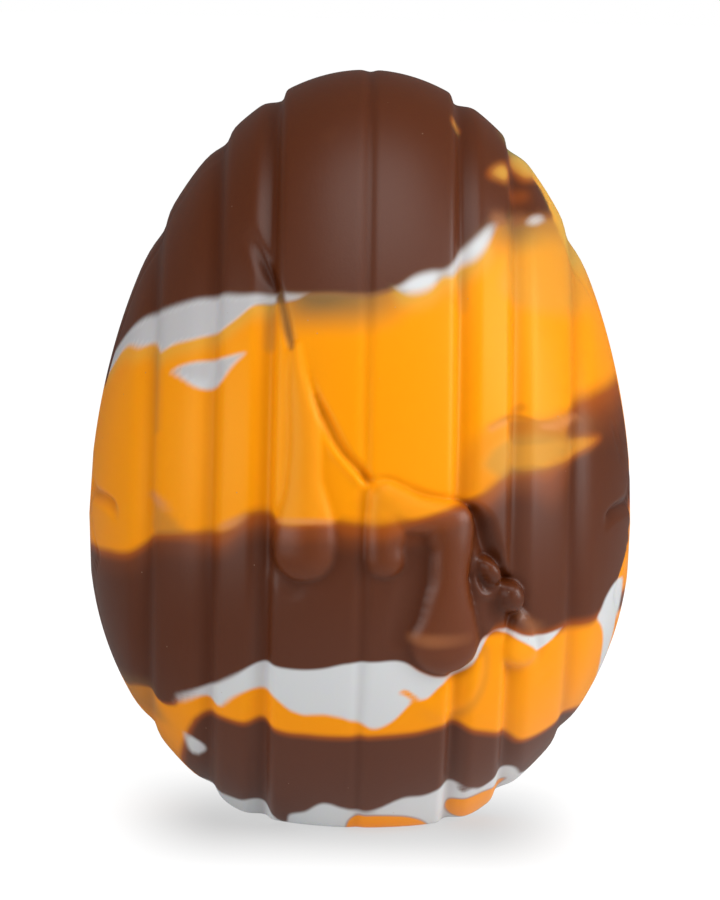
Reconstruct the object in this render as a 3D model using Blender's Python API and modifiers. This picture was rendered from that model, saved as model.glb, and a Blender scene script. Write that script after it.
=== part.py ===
"""Chocolate egg: a moulded egg with plank-like flutes, a crack and drips, on a flattened end.

The egg stands on its blunt end, +Z up, with the origin at the centre of its flat foot.
The flutes run up over the top and down the back. The crack and the drips face -Y.
"""

import math

import bmesh
import bpy
from mathutils import Vector

MM = 0.001

# The egg's own form
EGG_HEIGHT = 150.0 * MM
GIRTH_RADIUS = 55.05 * MM
GIRTH_HEIGHT = 59.0 * MM
UPPER_FULLNESS = 1.875
UPPER_ROUNDNESS = 0.497
LOWER_FULLNESS = 2.288
LOWER_ROUNDNESS = 0.772
# How far the blunt end would reach below the foot if it weren't flattened
BLUNT_END_DROP = 13.0 * MM

# The flat foot and the rounding of its rim
FOOT_RADIUS = 23.8 * MM
FOOT_RIM_RISE = 1.5 * MM
FOOT_RIM_REACH = 3.2 * MM

# Grooves between the planks: distance from the middle, depth, width of the steep
# wall on the inner side and of the slope on the outer side
GROOVES = (
    (18.2 * MM, 1.55 * MM, 1.4 * MM, 3.6 * MM),
    (29.0 * MM, 1.35 * MM, 1.4 * MM, 4.0 * MM),
    (41.2 * MM, 1.10 * MM, 1.4 * MM, 4.0 * MM),
)
MIDDLE_GROOVE_DEPTH = 0.50 * MM
MIDDLE_GROOVE_HALF_WIDTH = 1.3 * MM

# How finely the surface is divided
RING_SEGMENTS = 52
WIDEST_RING_GAP = 4.2 * MM
TURNED_STEPS = 56

# How deep a drip's root reaches below the egg's surface, past the deepest groove
ROOT_DEPTH = 3.0 * MM
# Lower values make the ends of drips and cuts blunter
END_BLUNTNESS = 0.45


def egg_radius(z):
    """Radius of the plain egg at height z, zero past its two ends."""
    if z >= GIRTH_HEIGHT:
        share = min((z - GIRTH_HEIGHT) / (EGG_HEIGHT - GIRTH_HEIGHT), 1.0)
        return GIRTH_RADIUS * (1.0 - share ** UPPER_FULLNESS) ** UPPER_ROUNDNESS
    share = min((GIRTH_HEIGHT - z) / (GIRTH_HEIGHT + BLUNT_END_DROP), 1.0)
    return GIRTH_RADIUS * (1.0 - share ** LOWER_FULLNESS) ** LOWER_ROUNDNESS


def egg_normal(point):
    """Outward direction of the plain egg's surface at a point on it."""
    step = 0.05 * MM
    slope = (egg_radius(point.z + step) - egg_radius(point.z - step)) / (2.0 * step)
    return Vector((point.x, point.y, -egg_radius(point.z) * slope)).normalized()


def point_around(x, angle):
    """Point of the plain egg in the plane at x, at an angle from straight up towards -Y."""
    inside = 0.0
    outside = EGG_HEIGHT
    for _ in range(40):
        reach = 0.5 * (inside + outside)
        z = GIRTH_HEIGHT + reach * math.cos(angle)
        if math.hypot(x, reach * math.sin(angle)) < egg_radius(z):
            inside = reach
        else:
            outside = reach
    return Vector((x, -inside * math.sin(angle), GIRTH_HEIGHT + inside * math.cos(angle)))


def front_point(x, z):
    """Point of the plain egg's front at sideways place x and height z."""
    return Vector((x, -math.sqrt(max(egg_radius(z) ** 2 - x * x, 0.0)), z))


def ease(share):
    """Smooth step from 0 to 1."""
    share = min(max(share, 0.0), 1.0)
    return share * share * (3.0 - 2.0 * share)


def groove_depth(x):
    """How far the fluted surface lies below the plain egg at sideways place x."""
    side = abs(x)
    depth = MIDDLE_GROOVE_DEPTH * max(1.0 - side / MIDDLE_GROOVE_HALF_WIDTH, 0.0)
    for place, deepest, wall, slope in GROOVES:
        if place - wall < side <= place:
            depth = deepest * ease((side - place + wall) / wall)
        elif place < side < place + slope:
            depth = deepest * (1.0 - ease((side - place) / slope))
    return depth


def ring_places():
    """Sideways places of the mesh rings from pole to pole, close together at each groove."""
    places = [0.0, MIDDLE_GROOVE_HALF_WIDTH]
    for place, _, wall, slope in GROOVES:
        places += [place - wall, place - 0.5 * wall, place]
        places += [place + 0.3 * slope, place + 0.6 * slope, place + slope]
    last_groove_end = places[-1]
    for quarter in (0.35, 0.6, 0.78, 0.9, 0.97, 1.0):
        places.append(last_groove_end + quarter * (GIRTH_RADIUS - last_groove_end))
    filled = [places[0]]
    for place in places[1:]:
        gap = place - filled[-1]
        parts = math.ceil(gap / WIDEST_RING_GAP)
        filled += [place - gap * (parts - part) / parts for part in range(1, parts + 1)]
    return [-place for place in reversed(filled[1:])] + filled


def new_object(name, mesh_data, collection):
    """Object in a collection, made from a bmesh."""
    mesh = bpy.data.meshes.new(name)
    mesh_data.to_mesh(mesh)
    mesh_data.free()
    mesh.shade_smooth()
    mesh.set_sharp_from_angle(angle=math.radians(50.0))
    item = bpy.data.objects.new(name, mesh)
    collection.objects.link(item)
    return item


def sphere_by_rings(rings, segments):
    """Sphere with its poles on X, and each vertex's ring number and angle from +Z to -Y."""
    ball = bmesh.new()
    bmesh.ops.create_uvsphere(ball, u_segments=segments, v_segments=rings - 1, radius=1.0)
    marked = []
    for vertex in ball.verts:
        along = math.acos(min(max(-vertex.co.z, -1.0), 1.0))
        ring = round(along * (rings - 1) / math.pi)
        marked.append((vertex, ring, math.atan2(vertex.co.y, vertex.co.x)))
    return ball, marked


def make_egg_body(collection):
    """Fluted egg, from a sphere whose rings are moved to the places of the grooves."""
    places = ring_places()
    body, marked = sphere_by_rings(len(places), RING_SEGMENTS)
    for vertex, ring, angle in marked:
        point = point_around(places[ring], angle)
        vertex.co = point - groove_depth(point.x) * egg_normal(point)
    return new_object("egg", body, collection)


def smooth_path(stations, steps):
    """Stations along a smooth curve through the given ones, closer together at its ends."""
    path = []
    for step in range(steps):
        run = 0.5 - 0.5 * math.cos(math.pi * step / (steps - 1))
        place = run * (len(stations) - 1)
        first = min(int(place), len(stations) - 2)
        share = place - first
        before = stations[max(first - 1, 0)]
        start = stations[first]
        end = stations[first + 1]
        after = stations[min(first + 2, len(stations) - 1)]
        path.append([
            b + 0.5 * share * (c - a + share * (2 * a - 5 * b + 4 * c - d
                                                + share * (3 * (b - c) + d - a)))
            for a, b, c, d in zip(before, start, end, after)
        ])
    return path


def make_swelling(name, stations, height, depth, collection, rings=15, segments=14):
    """Long swelling on the egg's front.

    Each station is (x, z, half width) in millimetres. The height is above the egg's
    surface, the depth is below it, and the two ends are rounded.
    """
    path = smooth_path(stations, rings)
    centres = [front_point(x * MM, z * MM) for x, z, _ in path]
    body, marked = sphere_by_rings(rings, segments)
    for vertex, ring, angle in marked:
        centre = centres[ring]
        outward = egg_normal(centre)
        along = centres[min(ring + 1, rings - 1)] - centres[max(ring - 1, 0)]
        sideways = outward.cross(along).normalized()
        end_rounding = math.sin(math.pi * ring / (rings - 1)) ** END_BLUNTNESS
        half_width = path[ring][2] * MM * end_rounding
        lift = (height if math.sin(angle) > 0.0 else depth) * end_rounding
        vertex.co = (centre + half_width * math.cos(angle) * sideways
                     + lift * math.sin(angle) * outward)
    return new_object(name, body, collection)


def make_bead(name, place, half_sizes, lean, height, depth, collection):
    """Small oval on the front, at place (x, z), half_sizes (width, length), in millimetres.

    Its lean is in degrees from upright, towards +X at the top.
    """
    centre = front_point(place[0] * MM, place[1] * MM)
    outward = egg_normal(centre)
    lean_angle = math.radians(lean)
    upward = Vector((math.sin(lean_angle), 0.0, math.cos(lean_angle)))
    upward = (upward - upward.dot(outward) * outward).normalized()
    sideways = outward.cross(upward)
    body = bmesh.new()
    bmesh.ops.create_uvsphere(body, u_segments=14, v_segments=9, radius=1.0)
    for vertex in body.verts:
        across, out, up = vertex.co
        lift = height if out > 0.0 else depth
        vertex.co = (centre + across * half_sizes[0] * MM * sideways + out * lift * outward
                     + up * half_sizes[1] * MM * upward)
    return new_object(name, body, collection)


def make_foot_cutter(collection):
    """Turned block whose top cuts the foot flat and rounds its rim."""
    floor = -2.0 * BLUNT_END_DROP
    reach = 1.6 * GIRTH_RADIUS
    outline = [(0.0, 0.0)]
    for step in range(4):
        turn = 0.5 * math.pi * step / 3.0
        outline.append((FOOT_RADIUS + FOOT_RIM_REACH * math.sin(turn),
                        FOOT_RIM_RISE * (1.0 - math.cos(turn))))
    outline += [(reach, FOOT_RIM_RISE), (reach, floor), (0.0, floor)]
    body = bmesh.new()
    corners = [body.verts.new((x, 0.0, z)) for x, z in outline]
    for first, second in zip(corners, corners[1:]):
        body.edges.new((first, second))
    block = new_object("foot_cutter", body, collection)
    screw = block.modifiers.new("Turn", "SCREW")
    screw.steps = TURNED_STEPS
    screw.render_steps = TURNED_STEPS
    screw.use_merge_vertices = True
    screw.merge_threshold = 0.00001
    return block


def combine(target, tool, operation):
    """Add a tool object to the target, or cut it away."""
    modifier = target.modifiers.new(tool.name, "BOOLEAN")
    modifier.operation = operation
    modifier.solver = "EXACT"
    modifier.object = tool
    tool.display_type = "WIRE"
    tool.hide_render = True


def make_drips(collection):
    """The drips, the pool that feeds them and the beads beside them."""
    return [
        make_swelling(
            "left_drip",
            [(-14.3, 98.5, 0.8), (-12.4, 88.0, 2.6), (-11.6, 77.0, 3.7),
             (-11.3, 67.0, 5.0), (-11.2, 60.0, 6.2), (-11.1, 56.0, 6.0), (-11.0, 53.0, 3.8)],
            1.9 * MM, ROOT_DEPTH, collection, rings=17),
        make_swelling(
            "pool",
            [(-0.2, 68.2, 3.0), (3.5, 69.2, 3.9), (9.0, 67.8, 3.9), (14.5, 66.3, 3.6),
             (19.6, 65.6, 2.6)],
            1.5 * MM, ROOT_DEPTH, collection),
        make_swelling(
            "middle_drip",
            [(4.2, 70.5, 3.4), (4.1, 66.0, 4.2), (4.3, 60.5, 4.2), (4.5, 57.0, 3.9),
             (4.6, 54.6, 2.6)],
            2.0 * MM, ROOT_DEPTH, collection, rings=13),
        make_swelling(
            "long_drip",
            [(17.6, 68.6, 3.4), (17.6, 64.5, 4.1), (17.4, 58.0, 4.0), (17.0, 51.0, 4.2),
             (16.4, 44.5, 5.5), (16.0, 39.5, 7.0), (16.1, 36.6, 6.4), (16.2, 35.0, 4.6)],
            2.8 * MM, ROOT_DEPTH, collection, rings=19),
        make_swelling(
            "low_drip",
            [(31.6, 45.5, 1.2), (31.3, 41.5, 2.8), (31.4, 38.0, 3.1), (31.5, 35.6, 2.0)],
            0.9 * MM, ROOT_DEPTH, collection, rings=9, segments=10),
        make_bead("upper_bead", (24.0, 55.9), (1.7, 2.3), -35.0, 1.9 * MM, ROOT_DEPTH,
                  collection),
        make_bead("lower_bead", (28.4, 50.1), (2.4, 2.9), -15.0, 2.3 * MM, ROOT_DEPTH,
                  collection),
    ]


def make_cuts(collection):
    """The crack's open ends, its fine lower line, and a notch at each side of the seam."""
    return [
        make_swelling(
            "crack_upper",
            [(-22.2, 118.8, 0.3), (-20.3, 114.1, 0.7), (-17.8, 108.8, 0.9),
             (-15.6, 104.5, 0.8), (-14.2, 98.5, 0.5), (-10.4, 90.0, 0.45),
             (-7.3, 82.5, 0.45), (-4.4, 78.4, 0.45), (0.3, 72.0, 0.3)],
            1.2 * MM, 1.5 * MM, collection, rings=17, segments=8),
        make_swelling(
            "crack_wedge",
            [(20.6, 68.4, 0.7), (22.9, 64.5, 1.7), (24.2, 60.0, 1.9), (26.0, 56.4, 1.5),
             (29.0, 53.6, 0.5)],
            1.2 * MM, 1.9 * MM, collection, rings=11, segments=10),
        make_swelling(
            "crack_lower",
            [(29.2, 49.0, 0.4), (31.2, 46.6, 0.5), (33.4, 44.4, 0.5), (35.3, 40.0, 0.5),
             (36.3, 33.0, 0.4)],
            1.0 * MM, 1.1 * MM, collection, rings=9, segments=8),
        make_bead("left_notch", (-51.8, 64.8), (1.9, 2.6), 40.0, 1.5 * MM, 0.9 * MM,
                  collection),
        make_bead("right_notch", (51.8, 64.4), (1.9, 2.6), -40.0, 1.5 * MM, 0.9 * MM,
                  collection),
    ]


def chocolate():
    """Brown milk chocolate with a satin finish."""
    material = bpy.data.materials.new("chocolate")
    material.use_nodes = True
    shader = material.node_tree.nodes["Principled BSDF"]
    shader.inputs["Base Color"].default_value = (0.105, 0.036, 0.018, 1.0)
    shader.inputs["Roughness"].default_value = 0.38
    shader.inputs["Metallic"].default_value = 0.0
    return material


for existing in list(bpy.data.objects):
    bpy.data.objects.remove(existing, do_unlink=True)

parts = bpy.data.collections.new("chocolate_egg")
tools = bpy.data.collections.new("cutters")
bpy.context.scene.collection.children.link(parts)
bpy.context.scene.collection.children.link(tools)

egg = make_egg_body(parts)
egg.data.materials.append(chocolate())
combine(egg, make_foot_cutter(tools), "DIFFERENCE")
for drip in make_drips(tools):
    combine(egg, drip, "UNION")
for cut in make_cuts(tools):
    combine(egg, cut, "DIFFERENCE")
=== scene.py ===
"""Looks of the chocolate egg: its moulded surface, its poured colours and a small studio."""

import math

import bpy
import numpy as np
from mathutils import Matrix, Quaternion, Vector


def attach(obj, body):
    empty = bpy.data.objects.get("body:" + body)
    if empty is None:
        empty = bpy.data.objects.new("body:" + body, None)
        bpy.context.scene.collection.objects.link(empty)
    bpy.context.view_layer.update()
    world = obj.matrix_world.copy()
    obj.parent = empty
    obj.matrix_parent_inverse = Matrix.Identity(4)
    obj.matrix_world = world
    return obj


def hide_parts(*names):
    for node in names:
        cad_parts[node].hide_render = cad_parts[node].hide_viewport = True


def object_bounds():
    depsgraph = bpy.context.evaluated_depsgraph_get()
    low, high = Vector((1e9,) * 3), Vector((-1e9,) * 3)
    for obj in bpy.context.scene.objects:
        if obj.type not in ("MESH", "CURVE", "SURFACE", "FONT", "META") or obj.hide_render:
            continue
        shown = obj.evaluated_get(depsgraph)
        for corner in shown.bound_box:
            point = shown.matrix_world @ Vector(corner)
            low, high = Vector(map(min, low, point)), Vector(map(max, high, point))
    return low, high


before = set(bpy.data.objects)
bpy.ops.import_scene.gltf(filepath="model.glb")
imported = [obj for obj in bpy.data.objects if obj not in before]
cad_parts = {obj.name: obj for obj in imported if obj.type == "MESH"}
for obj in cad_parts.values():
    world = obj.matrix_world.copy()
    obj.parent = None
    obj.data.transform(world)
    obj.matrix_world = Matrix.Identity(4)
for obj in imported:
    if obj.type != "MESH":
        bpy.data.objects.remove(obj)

cad_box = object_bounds()

# ---------------------------------------------------------------------------
# The moulded body.
# Two half shells of tempered chocolate, cast in a two-part mould and fused at their
# rims. Grooves divide each shell into upright planks, and the blunt end is flattened
# into a foot. Sizes are in millimetres until the mesh is written.

MM = 0.001
EGG_HEIGHT = cad_box[1][2] / MM
GIRTH_RADIUS = cad_box[1][0] / MM
GIRTH_HEIGHT = 59.0
UPPER_FULLNESS = 1.875
UPPER_ROUNDNESS = 0.497
LOWER_FULLNESS = 2.288
LOWER_ROUNDNESS = 0.772
# How far the blunt end would reach below the foot if it weren't flattened
BLUNT_END_DROP = 13.0
FOOT_ROUNDING = 1.1

# Grooves: distance from the middle, depth, inner wall's width, outer slope's width
GROOVES = (
    (18.8, 1.55, 2.6, 3.6),
    (29.6, 1.35, 2.3, 3.8),
    (41.8, 1.15, 1.9, 3.3),
)
MIDDLE_GROOVE_DEPTH = 0.5
RINGS = 222
SEGMENTS = 444
# Between each pole and the ring beside it
POLE_GAP = 0.02
HALVINGS = 34


def egg_radius(z):
    """Radius of the plain egg at heights z."""
    up = np.clip((z - GIRTH_HEIGHT) / (EGG_HEIGHT - GIRTH_HEIGHT), 0.0, 1.0)
    down = np.clip((GIRTH_HEIGHT - z) / (GIRTH_HEIGHT + BLUNT_END_DROP), 0.0, 1.0)
    above = (1.0 - up ** UPPER_FULLNESS) ** UPPER_ROUNDNESS
    below = (1.0 - down ** LOWER_FULLNESS) ** LOWER_ROUNDNESS
    return GIRTH_RADIUS * np.where(z > GIRTH_HEIGHT, above, below)


def egg_normals(points):
    """Outward directions of the plain egg at points on it."""
    z = np.clip(points[:, 2], 0.1 - BLUNT_END_DROP, EGG_HEIGHT - 0.05)
    step = 0.04
    slope = (egg_radius(z + step) - egg_radius(z - step)) / (2.0 * step)
    normals = np.column_stack((points[:, 0], points[:, 1], -egg_radius(z) * slope))
    return normals / np.linalg.norm(normals, axis=1)[:, None]


def spread(count, low, high, closeness):
    """Places from low to high, closer together where closeness is larger."""
    fine = np.linspace(low, high, 8000)
    steps = np.cumsum(closeness(fine))
    return np.interp(np.linspace(steps[0], steps[-1], count), steps, fine)


def ease(share):
    """Smooth step from 0 to 1."""
    share = np.clip(share, 0.0, 1.0)
    return share * share * (3.0 - 2.0 * share)


def ring_closeness(x):
    """Rings lie closest where the drips and the grooves are."""
    near = 1.0 + 1.6 * ease((x + 25.0) / 5.0) * ease((38.0 - x) / 5.0)
    for place, _, _, _ in GROOVES:
        near += np.exp(-((np.abs(x) - place + 0.3) / 2.4) ** 2)
    return near + 2.8 * ease((np.abs(x) - 43.5) / 5.0) * ease((55.0 - np.abs(x)) / 1.5)


def segment_closeness(angle):
    """Segments lie closest on the front between the crack's tip and the longest drip."""
    facing = ease((angle - 0.05) / 0.2) * ease((3.05 - angle) / 0.2)
    drips = ease((angle - 0.50) / 0.25) * ease((2.15 - angle) / 0.25)
    return 1.2 + facing + 3.6 * drips


def groove_depth(x, y):
    """Depth of the grooves below the plain egg; they are tighter toward the sides."""
    side = np.abs(x)
    facing = ease(np.abs(y) / 14.0)
    depth = np.zeros_like(side)
    for place, deepest, wall, slope in GROOVES:
        bottom = place - 0.9 * (1.0 - facing)
        width = wall - 1.1 * (1.0 - facing)
        inner = ease((side - bottom + width) / width)
        outer = 1.0 - ease((side - bottom) / slope)
        depth = np.maximum(depth, deepest * np.where(side < bottom, inner, outer))
    middle = np.where(x < 0.5, ease((x + 1.7) / 2.2), ease((1.7 - x) / 1.2))
    return depth + MIDDLE_GROOVE_DEPTH * middle


# A sphere's net laid on its side, so that its rings run along the grooves
bpy.ops.object.select_all(action="DESELECT")
bpy.ops.mesh.primitive_uv_sphere_add(segments=SEGMENTS, ring_count=RINGS - 1, radius=1.0)
egg = bpy.context.object
egg.name = "marbled_egg"
egg.data.name = "marbled_egg"
count = len(egg.data.vertices)
unit = np.empty(count * 3)
egg.data.vertices.foreach_get("co", unit)
unit = unit.reshape(-1, 3)
ring = np.rint(np.arccos(np.clip(-unit[:, 2], -1.0, 1.0)) * (RINGS - 1) / math.pi).astype(int)
turn = np.arctan2(unit[:, 1], unit[:, 0])
turn_number = np.rint(turn * SEGMENTS / (2.0 * math.pi)).astype(int) % SEGMENTS

last_ring = GIRTH_RADIUS - POLE_GAP
ring_places = spread(RINGS, -last_ring, last_ring, ring_closeness)
ring_places[0], ring_places[-1] = -GIRTH_RADIUS, GIRTH_RADIUS
segment_angles = spread(SEGMENTS + 1, 0.0, 2.0 * math.pi, segment_closeness)[:-1]
x = ring_places[ring]
angle = segment_angles[turn_number]
# Reach from the middle axis to the plain egg, found by halving
inside = np.zeros(count)
outside = np.full(count, EGG_HEIGHT)
for _ in range(HALVINGS):
    reach = 0.5 * (inside + outside)
    level = GIRTH_HEIGHT + reach * np.cos(angle)
    within = np.hypot(x, reach * np.sin(angle)) < egg_radius(level)
    inside = np.where(within, reach, inside)
    outside = np.where(within, outside, reach)
plain = np.column_stack((x, -inside * np.sin(angle), GIRTH_HEIGHT + inside * np.cos(angle)))
normals = egg_normals(plain)
around = np.degrees(np.arctan2(plain[:, 0], -plain[:, 1]))
height = plain[:, 2]

# ---------------------------------------------------------------------------
# The relief.
# The mould's front has a crack running down from the upper left, with a pool, three
# hanging drips, two beads and a low fourth drip, as if it oozed out. The shells'
# rims leave a fine seam and a small pocket at each side.


def smooth_run(stations, count):
    """Stations along a smooth curve through the given ones."""
    stations = np.array(stations)
    place = np.linspace(0.0, len(stations) - 1.0, count)
    first = np.minimum(place.astype(int), len(stations) - 2)
    share = (place - first)[:, None]
    a = stations[np.maximum(first - 1, 0)]
    b = stations[first]
    c = stations[first + 1]
    d = stations[np.minimum(first + 2, len(stations) - 1)]
    return b + 0.5 * share * (c - a + share * (2 * a - 5 * b + 4 * c - d
                                               + share * (3 * (b - c) + d - a)))


def smooth_line(corners, at):
    """Heights of a wavering line through (place, height) corners."""
    corners = np.array(corners)
    u, v = corners[:, 0], corners[:, 1]
    tangents = np.gradient(v, u)
    k = np.clip(np.searchsorted(u, at) - 1, 0, len(u) - 2)
    gap = u[k + 1] - u[k]
    t = np.clip((at - u[k]) / gap, 0.0, 1.0)
    return ((2 * t ** 3 - 3 * t ** 2 + 1) * v[k] + (t ** 3 - 2 * t ** 2 + t) * gap * tangents[k]
            + (3 * t ** 2 - 2 * t ** 3) * v[k + 1] + (t ** 3 - t ** 2) * gap * tangents[k + 1])


def soften(values, rounds):
    """Values on the points, each blended with its neighbours' a few times."""
    grid = np.zeros((RINGS, SEGMENTS))
    grid[ring, turn_number] = values
    grid[0] = values[ring == 0][0]
    grid[-1] = values[ring == RINGS - 1][0]
    for _ in range(rounds):
        grid = 0.5 * grid + 0.25 * (np.roll(grid, 1, 1) + np.roll(grid, -1, 1))
        grid[1:-1] = 0.5 * grid[1:-1] + 0.25 * (grid[2:] + grid[:-2])
    return grid[ring, turn_number]


front = plain[:, 1] < 0.0
front_x = plain[front, 0]
front_z = plain[front, 2]


def blob_height(stations, roundness):
    """Height of a run of domes over the front; stations are (x, z, half width, height)."""
    height = np.zeros(len(front_x))
    for x, z, half_width, top in smooth_run(stations, 70):
        away = ((front_x - x) ** 2 + (front_z - z) ** 2) / half_width ** 2
        height = np.maximum(height, top * np.clip(1.0 - away, 0.0, 1.0) ** roundness)
    return height


def line_distance(stations):
    """Distance to a line on the front in half widths; stations are (x, z, half width)."""
    nearest = np.full(len(front_x), 9.0)
    for x, z, half_width in smooth_run(stations, 160):
        away = np.hypot(front_x - x, front_z - z) / half_width
        nearest = np.minimum(nearest, away)
    return nearest


def outline_depth(corners):
    """How far points of the front lie inside a rounded outline, in mm."""
    loop = np.array(corners)
    for _ in range(2):
        ahead = np.roll(loop, -1, 0)
        loop = np.stack((0.8 * loop + 0.2 * ahead, 0.2 * loop + 0.8 * ahead), 1).reshape(-1, 2)
    nearest = np.full(len(front_x), 99.0)
    within = np.zeros(len(front_x), bool)
    for start, end in zip(loop, np.roll(loop, -1, 0)):
        run = end - start
        along = ((front_x - start[0]) * run[0] + (front_z - start[1]) * run[1]) / (run @ run)
        along = np.clip(along, 0.0, 1.0)
        nearest = np.minimum(nearest, np.hypot(front_x - start[0] - along * run[0],
                                               front_z - start[1] - along * run[1]))
        if start[1] != end[1]:
            crossing = start[0] + (front_z - start[1]) * run[0] / run[1]
            level = (start[1] > front_z) != (end[1] > front_z)
            within ^= level & (front_x < crossing)
    return np.where(within, nearest, -nearest)


# The drips, the pool and the ridges: x, z, half width, height at each station
LEFT_DRIP = (
    (-13.4, 98.0, 0.8, 0.5), (-12.9, 93.0, 1.7, 0.9), (-12.2, 88.5, 2.4, 1.1),
    (-11.5, 84.0, 2.9, 1.2), (-11.2, 79.0, 3.1, 1.3), (-11.3, 73.0, 3.4, 1.4),
    (-11.1, 69.0, 4.2, 1.7), (-11.0, 64.8, 5.4, 2.2), (-11.1, 61.5, 5.85, 2.5),
    (-11.1, 59.3, 5.85, 2.5),
)
POOL = (
    (4.5, 69.6, 3.4, 1.7), (6.6, 68.2, 3.8, 1.9), (9.6, 66.8, 3.7, 2.0),
    (13.2, 66.2, 3.5, 2.1), (17.0, 65.2, 3.7, 2.4),
)
MIDDLE_DRIP = (
    (4.4, 68.6, 3.4, 1.6), (4.8, 65.4, 4.0, 1.7), (4.25, 61.0, 3.55, 1.85), (4.4, 58.1, 3.6, 1.9),
)
LONG_DRIP = (
    (17.4, 65.2, 3.9, 2.3), (16.8, 63.4, 4.6, 2.5), (17.1, 60.6, 4.0, 2.6), (16.9, 57.0, 3.7, 2.6),
    (16.8, 53.5, 3.7, 2.6), (16.7, 50.0, 4.4, 2.6), (16.7, 46.0, 5.3, 2.6),
    (16.5, 42.4, 6.3, 2.6), (16.2, 41.8, 6.5, 2.6),
)
LOW_DRIP = ((31.2, 44.5, 1.8, 0.5), (31.2, 42.0, 2.6, 0.9), (31.4, 38.8, 3.2, 1.1))
COLLAR = (
    (22.0, 56.6, 0.7, 0.3), (21.8, 53.8, 0.8, 0.5), (22.9, 51.5, 0.8, 0.5), (24.8, 50.2, 0.7, 0.2),
)
CRACK_LIP = (
    (-7.2, 80.5, 0.8, 0.2), (-5.6, 78.4, 1.1, 0.5), (-3.0, 75.6, 1.2, 0.5),
    (-0.6, 72.7, 1.1, 0.5), (0.2, 71.6, 0.8, 0.3),
)
LOW_RIDGE = ((29.8, 48.2, 1.2, 0.5), (31.6, 46.0, 1.4, 0.8), (33.3, 43.6, 1.0, 0.4))
# Beads: centre, half sizes, lean in degrees, height
BEADS = (((24.8, 55.5), (1.7, 2.9), -32.0, 2.2), ((29.0, 50.2), (2.2, 3.1), -8.0, 2.6))
# The cuts: x, z, half width at each station
CRACK = (
    (-22.8, 118.6, 0.7), (-21.2, 115.4, 1.3), (-19.7, 112.3, 1.3), (-18.0, 109.4, 1.1),
    (-16.5, 106.5, 0.9), (-15.4, 103.2, 0.8), (-14.8, 100.1, 0.8), (-13.7, 97.0, 0.8),
    (-12.1, 94.0, 0.9), (-9.9, 89.0, 1.1), (-7.3, 84.4, 1.3), (-4.4, 79.0, 1.5),
    (-1.6, 75.8, 1.5), (0.9, 73.2, 1.1),
)
POOL_LIP = (
    (0.6, 72.6, 0.8), (3.2, 73.7, 0.8), (6.0, 73.2, 0.9), (8.8, 71.6, 1.2),
    (12.6, 70.4, 1.3), (16.6, 69.6, 1.3), (20.0, 68.6, 1.3),
)
CRACK_MOUTH = (
    (21.2, 67.6, 1.4), (22.6, 65.4, 2.4), (23.4, 62.4, 3.0), (24.3, 59.8, 3.0),
    (25.6, 57.4, 2.6), (27.0, 55.2, 2.1), (28.6, 53.2, 1.5),
)
LOWER_CRACK = (
    (30.6, 49.4, 0.8), (32.6, 46.6, 0.8), (34.2, 43.8, 0.8), (35.2, 40.0, 0.8),
    (36.0, 36.0, 0.8), (36.4, 33.0, 0.5),
)
SIDE_CREASE = ((49.7, 81.0, 0.9), (50.7, 77.9, 0.9), (52.0, 73.7, 0.9))
# Shallow hollows: x, z, half width, depth at each station
HOLLOWS = (
    ((10.6, 58.0, 3.2, 0.4), (10.2, 54.0, 4.0, 0.5), (8.8, 48.0, 4.0, 0.5), (7.0, 43.0, 3.0, 0.3)),
    ((-18.0, 64.0, 2.4, 0.2), (-18.0, 58.0, 2.6, 0.3), (-13.0, 52.0, 3.0, 0.3)),
    ((25.0, 49.2, 2.0, 0.4), (26.0, 46.2, 2.6, 0.6), (26.4, 44.0, 2.0, 0.3)),
    ((23.2, 58.2, 1.3, 0.6), (22.9, 55.0, 1.3, 0.8), (24.0, 52.2, 1.3, 0.7)),
)
# Outline of the low round lobe: x, z
LOWER_LOBE = (
    (23.7, 40.3), (24.1, 37.4), (24.0, 34.5), (23.5, 32.0), (22.2, 29.3), (20.7, 27.3),
    (19.0, 25.9), (17.1, 25.1), (15.1, 25.3), (13.3, 26.4), (11.5, 27.8), (10.1, 29.2),
    (11.8, 30.0), (14.0, 30.6), (15.3, 32.3), (16.8, 34.1), (18.7, 34.4), (20.6, 35.8),
    (22.3, 37.7),
)
# Upper edge of the side pockets: degrees around, height
POCKET_EDGE = (
    (58.0, 62.0), (61.0, 63.6), (64.0, 65.1), (68.0, 65.8), (75.0, 66.1), (86.0, 66.6),
)
DRIP_ROUNDNESS = 0.6
RIDGE_ROUNDNESS = 1.2
HOLLOW_ROUNDNESS = 1.6
LOBE_HEIGHT = 0.45
CUT_DEPTHS = (
    (CRACK, 1.4), (POOL_LIP, 0.4), (CRACK_MOUTH, 2.2), (LOWER_CRACK, 0.6), (SIDE_CREASE, 0.25),
)
POCKET_DEPTH = 1.5
POCKET_DROP = 4.0
# Kept free before the foremost plane of the egg's box
FRONT_CLEARANCE = 0.05

raised = np.zeros(len(front_x))
for stations in (LEFT_DRIP, POOL, MIDDLE_DRIP, LONG_DRIP, LOW_DRIP):
    raised = np.maximum(raised, blob_height(stations, DRIP_ROUNDNESS))
for centre, half_sizes, lean, top in BEADS:
    lean_angle = math.radians(lean)
    across = ((front_x - centre[0]) * math.cos(lean_angle)
              - (front_z - centre[1]) * math.sin(lean_angle)) / half_sizes[0]
    along = ((front_x - centre[0]) * math.sin(lean_angle)
             + (front_z - centre[1]) * math.cos(lean_angle)) / half_sizes[1]
    dome = top * np.sqrt(np.clip(1.0 - across ** 2 - along ** 2, 0.0, 1.0))
    raised = np.maximum(raised, dome)

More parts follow.
